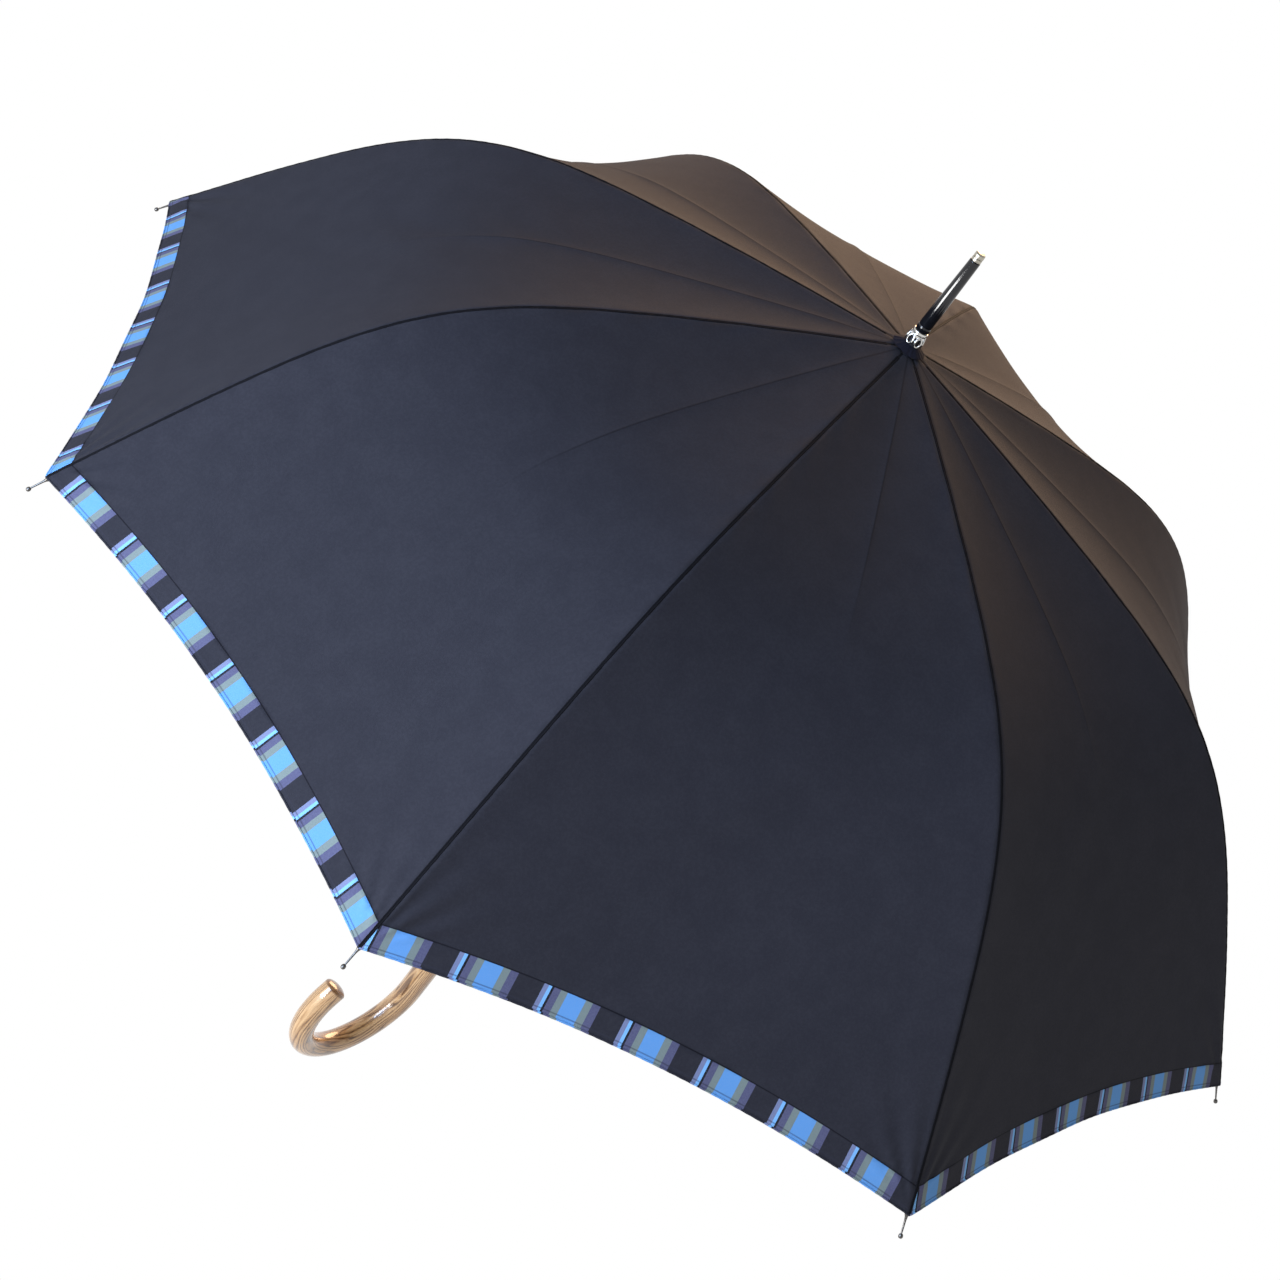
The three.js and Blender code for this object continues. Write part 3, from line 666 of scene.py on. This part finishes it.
CLOTH = canopy_material()
# The seam strips' cloth is darker than the canopy's: painted shade of the seams
SEAM_SHADE_CLOTH = plain_cloth("seam_shade_cloth", (0.0030, 0.0030, 0.0042))
STRAP_CLOTH = plain_cloth("strap_cloth", (0.0130, 0.0130, 0.0180))
ROSETTE_CLOTH = plain_cloth("rosette_cloth", (0.0065, 0.0065, 0.0115))
CHROME = metal("chrome", (0.60, 0.59, 0.57), 0.14)
CAP_METAL = metal("cap_metal", (0.46, 0.43, 0.36), 0.34)
BRUSHED = metal("collar_metal", (0.74, 0.72, 0.68), 0.24, warm=(0.56, 0.50, 0.42))
GREY_STEEL = metal("grey_steel", (0.115, 0.115, 0.125), 0.40)
DARK_STEEL = lacquer("dark_steel", (0.018, 0.018, 0.022), 0.28, coat=0.5)
TIP_METAL = metal("tip_metal", (0.11, 0.105, 0.10), 0.28)
ROD = lacquer("rod_black", (0.020, 0.020, 0.023), 0.38)
PLASTIC = lacquer("runner_plastic", (0.014, 0.014, 0.016), 0.30, coat=0.2)
GLOSS_BLACK = lacquer("ferrule_gloss", (0.003, 0.003, 0.004), 0.07)
WOOD = wood_material("varnished_wood_visual")
WOOD_END = wood_material("wood_end", dark_end=True)


# ---------------------------------------------------------------- shape helpers
def lathe(name, profile, sides=56, ripple=None):
    """Turned piece about the Z axis; profile is (radius, z) from start to end."""
    angles = np.linspace(0, 2 * math.pi, sides, endpoint=False)
    radius, height = np.array(profile).T
    r = radius[:, None] * np.ones(sides)
    z = height[:, None] * np.ones(sides)
    if ripple is not None:
        r, z = ripple(r, z, angles[None, :])
    points = np.stack([r * np.cos(angles), r * np.sin(angles), z], -1).reshape(-1, 3)
    return new_object(name, points, grid_faces(len(profile), sides, closed=True))


def rounded(profile, radius, steps=3):
    """Profile with its corners rounded off, each over less than half of its two sides."""
    p = [np.array(q, float) for q in profile]
    out = [p[0]]
    for a, b, c in zip(p, p[1:], p[2:]):
        u, v = a - b, c - b
        lu, lv = np.linalg.norm(u), np.linalg.norm(v)
        cut = min(radius, lu * 0.45, lv * 0.45)
        s, e = b + u / lu * cut, b + v / lv * cut
        for t in np.linspace(0, 1, steps + 1):
            out.append((1 - t) ** 2 * s + 2 * t * (1 - t) * b + t * t * e)
    out.append(p[-1])
    return out


def sweep(name, centres, normals, sides, half_width, half_height, caps=True):
    """Tube of oval section through centres; its height is along the normals."""
    tangent = np.gradient(centres, axis=0)
    tangent /= np.linalg.norm(tangent, axis=1, keepdims=True)
    across = np.cross(normals, tangent)
    across /= np.linalg.norm(across, axis=1, keepdims=True)
    angles = np.linspace(0, 2 * math.pi, sides, endpoint=False)
    wide = half_width * np.sin(angles)[:, None]
    tall = half_height * np.cos(angles)[:, None]
    points = centres[:, None, :] + across[:, None, :] * wide + normals[:, None, :] * tall
    faces = [list(f) for f in grid_faces(len(centres), sides, flip=True, closed=True)]
    if caps:
        last = (len(centres) - 1) * sides
        faces.append(list(range(sides)))
        faces.append([last + i for i in reversed(range(sides))])
    return new_object(name, points.reshape(-1, 3), faces)


def dress(obj, *materials):
    obj.data.materials.clear()
    for m in materials:
        obj.data.materials.append(m)
    return obj


def place_piece(obj, body, *nodes, look, finish_slot):
    """Gives a rigid piece its look and its body, and hides the CAD nodes that it replaces; finish_slot is not
    used.
    """
    dress(obj, look)
    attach(obj, body)
    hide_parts(*nodes)


# ---------------------------------------------------------------- canopy
def seam_strip(k, side, band):
    """Stitched edge of one gore where it meets its neighbour, along rib k; its darker cloth is painted shade
    of the seam.
    """
    width, thickness, stitch_height, stitch_pitch = 0.0014, 0.00035, 0.00016, 0.0032
    gore = k if side > 0 else (k - 2) % RIBS + 1
    edge = -1 if side > 0 else 1
    flex = flex_row(np.array([edge * (1 - 1e-9)]), gore)[0]
    rows = np.linspace(0.012, flex, 60) if band == "inner" else np.linspace(flex, 1, 110)
    lanes = np.linspace(0, 1, 6)
    half_width = rib_at(rows)[0] * math.sin(HALF)
    wide = np.minimum(width, half_width * 0.35)
    across = edge * (1 - lanes[None, :] * (wide / half_width)[:, None])
    points, share = gore_surface(np.broadcast_to(rows[:, None], across.shape), across, gore)
    stitch = stitch_height * np.abs(np.sin(rows * RIB_LENGTH / stitch_pitch * math.pi))[:, None]
    rise = thickness * np.sin(np.pi * lanes) + stitch * np.exp(-((lanes - 0.62) / 0.12) ** 2)
    points = turn(points + normal_from(rib_at(share)[2]) * rise[..., None], gore_angle(gore))
    name = f"seam_{k}_{half_letter(side)}_{band}"
    return dress(new_object(name, points.reshape(-1, 3), grid_faces(*rise.shape, flip=side > 0)), SEAM_SHADE_CLOTH)


def hem_strip(gore, side):
    """Rolled edge of a half gore at the rim."""
    roll_radius, flatness, set_back = 0.00075, 0.8, 0.0003
    across = side * (1 - np.linspace(0, 1, 90))
    turns = np.linspace(0, 2 * math.pi, 9, endpoint=False)
    rim, _ = gore_surface(np.ones_like(across), across, gore)
    inner, _ = gore_surface(np.ones_like(across) * 0.995, across, gore)
    out = rim - inner
    out /= np.linalg.norm(out, axis=1, keepdims=True)
    tangent = np.gradient(rim, axis=0)
    tangent /= np.linalg.norm(tangent, axis=1, keepdims=True)
    up = np.cross(out, tangent) * -side
    radius = roll_radius * (1 + 0.10 * np.sin(np.linspace(0, 150, len(across))))
    points = (
        rim[:, None, :] - out[:, None, :] * set_back
        + out[:, None, :] * (np.cos(turns)[None, :] * radius[:, None])[..., None]
        + up[:, None, :] * (np.sin(turns)[None, :] * radius[:, None] * flatness)[..., None]
    )
    spot = np.broadcast_to(across[:, None], points.shape[:2])
    rim_half_width = rib_at(1.0)[0] * math.sin(HALF)
    # Place and Edge are kept clear of the painted shade at the crease and the seam
    uvs = uv_layers(
        Stripes=(stripe_phase(rim_half_width * spot, gore), 0.02),
        Place=(1.0, np.abs(spot)),
        Edge=(2.0, np.abs(spot) + 1),
    )
    faces = grid_faces(len(across), len(turns), flip=side < 0, closed=True)
    points = turn(points, gore_angle(gore)).reshape(-1, 3)
    return dress(new_object(f"hem_{gore}_{half_letter(side)}", points, faces, uvs), CLOTH)


for gore in range(1, RIBS + 1):
    for side in (-1, 1):
        k = gore if side < 0 else gore % RIBS + 1
        for band in ("inner", "outer"):
            cloth = dress(half_gore(gore, side, band), CLOTH)
            trims = [seam_strip(k, -side, band)]
            if band == "outer":
                trims.append(hem_strip(gore, side))
            for piece in [cloth, *trims]:
                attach(piece, body_name(k, band))
                fold(piece, k, -side, band)
            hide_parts(f"canopy_gore_{gore}")


# ---------------------------------------------------------------- handle
HANDLE_SIDES = 64
CROOK_TURN = 3.58  # radians from the straight grip to the end of the crook
STRAIGHT_END = 0.007
DOME_HEIGHT = 0.004
DOME_STATIONS = 11
# Height and radius where the wood narrows under its collar
SHOULDER = [
    (0.1650, 0.0080), (0.1648, 0.0086), (0.1636, 0.00925), (0.1620, 0.0099),
    (0.1590, 0.01045), (0.1560, HANDLE_RADIUS),
]


def handle_stations():
    """Centre in x and z, turn and radius at each station, from the collar to the end of the crook."""
    stations = [(0.0, z, 0.0, radius) for z, radius in SHOULDER]
    for z in np.linspace(0.1530, CROOK_CENTRE_Z, 26):
        stations.append((0.0, z, 0.0, HANDLE_RADIUS))
    for a in np.linspace(0, CROOK_TURN, 110)[1:]:
        x = CROOK_RADIUS * (1 - math.cos(a))
        z = CROOK_CENTRE_Z - CROOK_RADIUS * math.sin(a)
        stations.append((x, z, a, HANDLE_RADIUS))
    x, z, a, _ = stations[-1]
    end = [(length, HANDLE_RADIUS) for length in np.linspace(0.0, STRAIGHT_END, 5)[1:]]
    for lift in np.linspace(0, math.pi / 2, DOME_STATIONS + 1)[1:]:
        end.append((STRAIGHT_END + DOME_HEIGHT * math.sin(lift), max(HANDLE_RADIUS * math.cos(lift), 0.0002)))
    for length, radius in end:
        stations.append((x + math.sin(a) * length, z - math.cos(a) * length, a, radius))
    return stations


def build_handle():
    """Crook of one piece of wood, with its stained end as a second material."""
    angles = np.linspace(0, 2 * math.pi, HANDLE_SIDES, endpoint=False)
    sideways = np.array([0, 1, 0])
    points, across, along = [], [], []
    length, last = 0.0, None
    for x, z, a, radius in handle_stations():
        centre = np.array([x, 0, z])
        outward = np.array([-math.cos(a), 0, -math.sin(a)])
        if last is not None:
            length += np.linalg.norm(centre - last)
        last = centre
        for angle in angles:
            points.append(centre + radius * (math.cos(angle) * outward + math.sin(angle) * sideways))
            across.append((radius * math.cos(angle), radius * math.sin(angle)))
            along.append((length, 0))
    rows = len(points) // HANDLE_SIDES
    faces = [list(f) for f in grid_faces(rows, HANDLE_SIDES, closed=True)]
    faces.append([(rows - 1) * HANDLE_SIDES + i for i in range(HANDLE_SIDES)])
    faces.append(list(reversed(range(HANDLE_SIDES))))
    obj = new_object("handle_visual", points, faces, {"GrainAcross": across, "GrainAlong": along})
    dress(obj, WOOD, WOOD_END)
    end_start = rows - DOME_STATIONS - 1
    for polygon in obj.data.polygons:
        if min(polygon.vertices) // HANDLE_SIDES >= end_start:
            polygon.material_index = 1
    return obj


handle = build_handle()
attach(handle, "shaft_assembly")
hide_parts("handle")


# ---------------------------------------------------------------- turned metal and plastic pieces
TURNED_CORNER = 0.0003

collar = lathe("collar_visual", rounded([
    (0.0051, 0.1653), (0.0084, 0.1653), (0.0084, 0.1682), (0.0076, 0.1686), (0.0076, 0.1694),
    (0.0078, 0.1699), (0.0072, 0.1738), (0.0070, 0.1745), (0.0065, 0.1766), (0.0060, 0.1770),
    (0.0051, 0.1770),
], TURNED_CORNER))
place_piece(collar, "shaft_assembly", "handle_collar", look=BRUSHED, finish_slot="chrome")

ferrule = lathe("ferrule_visual", rounded([
    (0.0045, 0.8668), (0.0052, 0.8668), (0.0055, 0.8672), (0.0055, 0.8706), (0.0052, 0.8710),
    (0.0052, 0.8718), (0.0054, 0.8722), (0.0044, 0.9346), (0.0041, 0.9350), (0.0030, 0.9350),
], TURNED_CORNER))
place_piece(ferrule, "shaft_assembly", "ferrule", look=GLOSS_BLACK, finish_slot="black_ferrule")

cap = lathe("ferrule_cap_visual", rounded([
    (0.0, 0.9353), (0.0041, 0.9353), (0.0041, 0.9376), (0.0038, 0.9379), (0.0038, 0.9382), (0.0041, 0.9385),
    (0.0041, 0.9414), (0.0031, 0.9425), (0.0, 0.9425),
], TURNED_CORNER))
place_piece(cap, "shaft_assembly", "ferrule_cap", look=CAP_METAL, finish_slot="chrome")

PETALS = 6
PETAL_LEAN = 0.13  # inwards, per height


def petal(number):
    """Loop of thin pressed metal, standing on its end round the shaft."""
    middle_z, half_height, half_width, foot_z, foot_radius = 0.8589, 0.0040, 0.0024, 0.8549, 0.0070
    around = np.linspace(0, 2 * math.pi, 41)
    height = middle_z + half_height * np.sin(around)
    reach = foot_radius - (height - foot_z) * PETAL_LEAN + 0.0002 * np.cos(2 * around)
    wide = half_width * np.cos(around) * (1 - 0.25 * np.sin(around))
    centres = np.stack([reach, wide, height], -1)
    out = np.tile(np.array([1.0, 0.0, PETAL_LEAN]), (len(around), 1))
    angle = number * 2 * math.pi / PETALS
    return sweep(f"petal_{number}", turn(centres, angle), turn(out, angle), 12, 0.00085, 0.0006, caps=False)


crown_collar = lathe("crown_visual", rounded([
    (0.0052, 0.8610), (0.0060, 0.8604), (0.0063, 0.8612), (0.0060, 0.8630), (0.0059, 0.8636),
    (0.0061, 0.8640), (0.0059, 0.8662), (0.0057, 0.8664), (0.0052, 0.8664),
], TURNED_CORNER), 96)
place_piece(crown_collar, "shaft_assembly", "crown_cap", look=CHROME, finish_slot="chrome")
for number in range(PETALS):
    place_piece(petal(number), "shaft_assembly", look=CHROME, finish_slot="chrome")

ROSETTE_INNER = 0.0056
ROSETTE_WIDTH = 0.0083


def rosette():
    """Gathered disc of cloth over the apex, pleated towards the shaft."""
    radial = np.linspace(1, 0, 26)
    reach = ROSETTE_INNER + ROSETTE_WIDTH * radial
    height = np.interp(radial, [0, 0.3, 0.75, 1], [0.8539, 0.8527, 0.8508, 0.8497])

    def pleats(r, z, angles):
        share = (r - ROSETTE_INNER) / ROSETTE_WIDTH
        z = z + 0.00035 * np.sin(angles * 16) * np.clip(share, 0, 1) * (1.2 - share)
        z = z + 0.00030 * np.sin(angles * 5 + 1) * share
        return r * (1 + 0.012 * np.sin(angles * 23 + 0.6) * share), z

    return lathe("rosette_visual", list(zip(reach, height)), 192, pleats)


disc = rosette()
place_piece(disc, "shaft_assembly", "rosette", look=ROSETTE_CLOTH, finish_slot="black_fabric")

# ---------------------------------------------------------------- ribs
ROD_RADIUS = 0.0014
ROD_START = FLEX_AT + 0.0012
ROD_END = 1 - 0.0063 / RIB_LENGTH
# Radius and place along the rib, from its end, of the turned tip with its ball
TIP_PROFILE = rounded([
    (0.0, -0.006), (0.0017, -0.006), (0.0019, -0.0058), (0.0019, -0.0004), (0.0017, 0.0),
    (0.0011, 0.0016), (0.0008, 0.004), (0.0006, 0.0136), (0.0010, 0.0137), (0.0015, 0.0143),
    (0.0017, 0.0154), (0.0015, 0.0164), (0.0009, 0.0170), (0.0, 0.0172),
], 0.0002)


def rod(k):
    along_rib = rib_point(np.linspace(ROD_START, ROD_END, 60), np.zeros(60))
    points, normals = (turn(vectors, rib_angle(k)) for vectors in along_rib)
    return sweep(f"rod_{k}", points, normals, 18, ROD_RADIUS, ROD_RADIUS)


def rib_tip(k):
    tip = lathe(f"tip_{k}", TIP_PROFILE, 40)
    end, normal = rib_point(np.array(1.0), np.array(0.0))
    lean = Vector((0, 0, 1)).rotation_difference(Vector(tangent_from(normal))).to_matrix().to_4x4()
    tip.data.transform(Matrix.Rotation(rib_angle(k), 4, "Z") @ Matrix.Translation(Vector(end)) @ lean)
    return tip


for k in range(1, RIBS + 1):
    place_piece(rod(k), f"rib_outer_body_{k}", look=ROD, finish_slot="glass_fibre")
    place_piece(rib_tip(k), f"rib_outer_body_{k}", f"rib_tip_{k}", look=TIP_METAL, finish_slot="chrome")

# ---------------------------------------------------------------- tie strap
STRAP_GORE = 5
STRAP_ACROSS = -0.55
STRAP_HALF_WIDTH = 0.008


def strap():
    """Loose flat strap just above the membrane, between its rib and the crease."""
    rows = np.linspace(0.70, 0.93, 48)
    lanes = np.linspace(-1, 1, 13)[None, :]
    half_width = rib_at(rows)[0] * math.sin(HALF)
    across = STRAP_ACROSS + lanes * (STRAP_HALF_WIDTH / half_width)[:, None]
    share = np.broadcast_to(rows[:, None], across.shape)
    lift = 0.0014 - membrane_sag(share, across) + 0.0005 * (1 - lanes ** 6) + 0.00025 * np.sin(share * 90)
    points = turn(on_gore(share, across, lift), gore_angle(STRAP_GORE))
    return new_object("strap_visual", points.reshape(-1, 3), grid_faces(*share.shape))


tie = dress(strap(), STRAP_CLOTH)
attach(tie, "rib_outer_body_5")
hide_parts("tie_strap")

# ---------------------------------------------------------------- looks of the CAD pieces
LOOKS = {
    "shaft": DARK_STEEL, "shaft_pin": CHROME, "top_notch": PLASTIC, "notch_wire": GREY_STEEL,
    "runner": PLASTIC, "runner_wire": GREY_STEEL, "top_catch": CHROME, "bottom_catch": CHROME,
    "strap_snap": CHROME,
}
for k in range(1, RIBS + 1):
    LOOKS[f"rib_inner_{k}"] = GREY_STEEL
    LOOKS[f"stretcher_{k}"] = GREY_STEEL
    LOOKS[f"rib_outer_{k}"] = ROD
for node, look in LOOKS.items():
    dress(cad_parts[node], look)


# ---------------------------------------------------------------- floor, light and camera
def emission(name, colour, strength):
    m = bpy.data.materials.new(name)
    m.use_nodes = True
    nodes = m.node_tree.nodes
    nodes.clear()
    out = nodes.new("ShaderNodeOutputMaterial")
    glow = nodes.new("ShaderNodeEmission")
    glow.inputs["Color"].default_value = (*colour, 1)
    glow.inputs["Strength"].default_value = strength
    m.node_tree.links.new(glow.outputs[0], out.inputs[0])
    return m


def light(name, place, target, size, power, colour, height=None):
    """Area light that faces its target: a disk, or a rectangle if it has a height."""
    data = bpy.data.lights.new(name, "AREA")
    data.shape = "RECTANGLE" if height else "DISK"
    data.size = size
    if height:
        data.size_y = height
    data.energy = power
    data.color = colour
    obj = bpy.data.objects.new(name, data)
    obj.location = place
    obj.visible_camera = False
    obj.rotation_euler = (Vector(target) - Vector(place)).to_track_quat("-Z", "Y").to_euler()
    bpy.context.scene.collection.objects.link(obj)


def from_angles(azimuth, elevation):
    """Direction at an azimuth and elevation in degrees."""
    a, e = math.radians(azimuth), math.radians(elevation)
    return Vector((math.cos(e) * math.cos(a), math.cos(e) * math.sin(a), math.sin(e)))


scene = bpy.context.scene
scene.view_settings.view_transform = "Standard"
world = bpy.data.worlds.new("white")
scene.world = world
world.use_nodes = True
sky = Graph(world.node_tree)
background = world.node_tree.nodes["Background"]
direction = sky.node("ShaderNodeSeparateXYZ")
sky.put(sky.node("ShaderNodeTexCoord").outputs["Generated"], direction.inputs[0])
# White at the horizon and greyer above, by the height of the direction looked in
SKY_GREYS = [(0.06, 1.0), (0.30, 0.74), (0.60, 0.52)]
fade = sky.ramp(direction.outputs[2], [(height, (grey, grey, grey)) for height, grey in SKY_GREYS])
sky.put(fade, background.inputs[0])
background.inputs[1].default_value = 1.0

FLOOR_Z = -1.2
FLOOR_HALF = 40
floor_corners = [(x * FLOOR_HALF, y * FLOOR_HALF, FLOOR_Z) for x, y in ((-1, -1), (1, -1), (1, 1), (-1, 1))]
floor = new_object("floor", floor_corners, [(0, 1, 2, 3)])
dress(floor, emission("floor_white", (1, 1, 1), 1.0))

AIM = Vector((0.0140, -0.0224, 0.5059))
CAMERA_DISTANCE = 2.2518
VIEW_AZIMUTH = 27.646
VIEW_ELEVATION = 31.808
VIEW_ROLL = math.radians(37.414)
LENS = 78.72
SENSOR = 36

towards = from_angles(VIEW_AZIMUTH, VIEW_ELEVATION)
level_right = (-towards).cross(Vector((0, 0, 1))).normalized()
level_up = level_right.cross(-towards)
up = math.cos(VIEW_ROLL) * level_up - math.sin(VIEW_ROLL) * level_right
right = math.cos(VIEW_ROLL) * level_right + math.sin(VIEW_ROLL) * level_up
camera_data = bpy.data.cameras.new("camera")
camera_data.lens = LENS
camera_data.sensor_width = SENSOR
camera = bpy.data.objects.new("camera", camera_data)
camera.matrix_world = Matrix((right, up, towards)).transposed().to_4x4()
camera.location = AIM + towards * CAMERA_DISTANCE
scene.collection.objects.link(camera)
scene.camera = camera

LIGHT_DISTANCE = 2.4
LIGHT_SIZE = 1.5
FERRULE_MIDDLE = Vector((0, 0, 0.90))
light("cool_fill", AIM + from_angles(-9, 17) * LIGHT_DISTANCE, AIM, LIGHT_SIZE, 100, (0.55, 0.72, 1.0))
light("warm_back", AIM + from_angles(210, 20) * LIGHT_DISTANCE, AIM, LIGHT_SIZE, 66, (1.0, 0.60, 0.32))
# The strip gives the long highlight on the ferrule
light("low_strip", FERRULE_MIDDLE + from_angles(-7.5, -20.5) * 2.0, FERRULE_MIDDLE, 1.1, 22, (1, 1, 1), 0.24)
